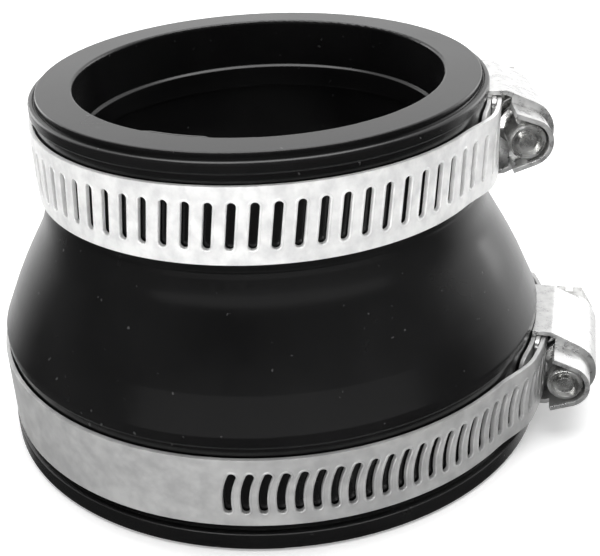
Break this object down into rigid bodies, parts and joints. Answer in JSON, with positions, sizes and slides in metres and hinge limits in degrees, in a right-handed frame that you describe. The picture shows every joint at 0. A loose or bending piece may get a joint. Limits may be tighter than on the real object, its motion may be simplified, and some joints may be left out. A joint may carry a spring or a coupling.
{
  "type": "flexible reducing pipe coupling",
  "caption": "Moulded rubber reducing coupling that joins two pipes of different size end to end, each socket clamped by a worm-drive hose clamp.",
  "frame": {"origin": "centre of the large end's mouth, on the pipe axis, in the face it stands on", "axes": "+Z along the pipe axis towards the small end; +X towards the side where the clamp screws are"},
  "size_m": [0.1133, 0.101, 0.0635],
  "materials": {
    "black_rubber": "satin moulded elastomer",
    "band_steel": "satin rolled stainless strip",
    "housing_steel": "bright pressed stainless sheet",
    "screw_steel": "turned and rolled stainless, polished"
  },
  "bodies": {
    "sleeve": {"sleeve": "black_rubber"},
    "small_clamp_frame": {"small_clamp_housing": "housing_steel", "small_clamp_saddle": "housing_steel"},
    "small_clamp_band": {"small_clamp_band": "band_steel"},
    "small_clamp_screw": {"small_clamp_screw": "screw_steel"},
    "large_clamp_frame": {"large_clamp_housing": "housing_steel", "large_clamp_saddle": "housing_steel"},
    "large_clamp_band": {"large_clamp_band": "band_steel"},
    "large_clamp_screw": {"large_clamp_screw": "screw_steel"}
  },
  "joints": [
    {"name": "small_clamp_turn", "type": "hinge", "parent": "sleeve", "child": "small_clamp_frame", "pos_m": [0, 0, 0.0525], "axis": [0, 0, 1], "continuous": true},
    {"name": "small_clamp_screw_turn", "type": "hinge", "parent": "small_clamp_frame", "child": "small_clamp_screw", "pos_m": [0.04514, -0.00237, 0.0525], "axis": [0.0523, 0.9986, 0], "range_deg": [-144, 1440]},
    {"name": "small_clamp_band_feed", "type": "hinge", "parent": "small_clamp_frame", "child": "small_clamp_band", "pos_m": [0, 0, 0.0525], "axis": [0, 0, 1], "range_deg": [-20.2, 2.2]},
    {"name": "large_clamp_turn", "type": "hinge", "parent": "sleeve", "child": "large_clamp_frame", "pos_m": [0, 0, 0.0115], "axis": [0, 0, 1], "continuous": true},
    {"name": "large_clamp_screw_turn", "type": "hinge", "parent": "large_clamp_frame", "child": "large_clamp_screw", "pos_m": [0.05335, -0.0153, 0.0115], "axis": [0.2756, 0.9613, 0], "range_deg": [-222, 1665]},
    {"name": "large_clamp_band_feed", "type": "hinge", "parent": "large_clamp_frame", "child": "large_clamp_band", "pos_m": [0, 0, 0.0115], "axis": [0, 0, 1], "range_deg": [-15.2, 2.2]}
  ],
  "couplings": [
    {"joint": "small_clamp_band_feed", "follows": "small_clamp_screw_turn", "ratio": -0.013889},
    {"joint": "large_clamp_band_feed", "follows": "large_clamp_screw_turn", "ratio": -0.009009}
  ]
}
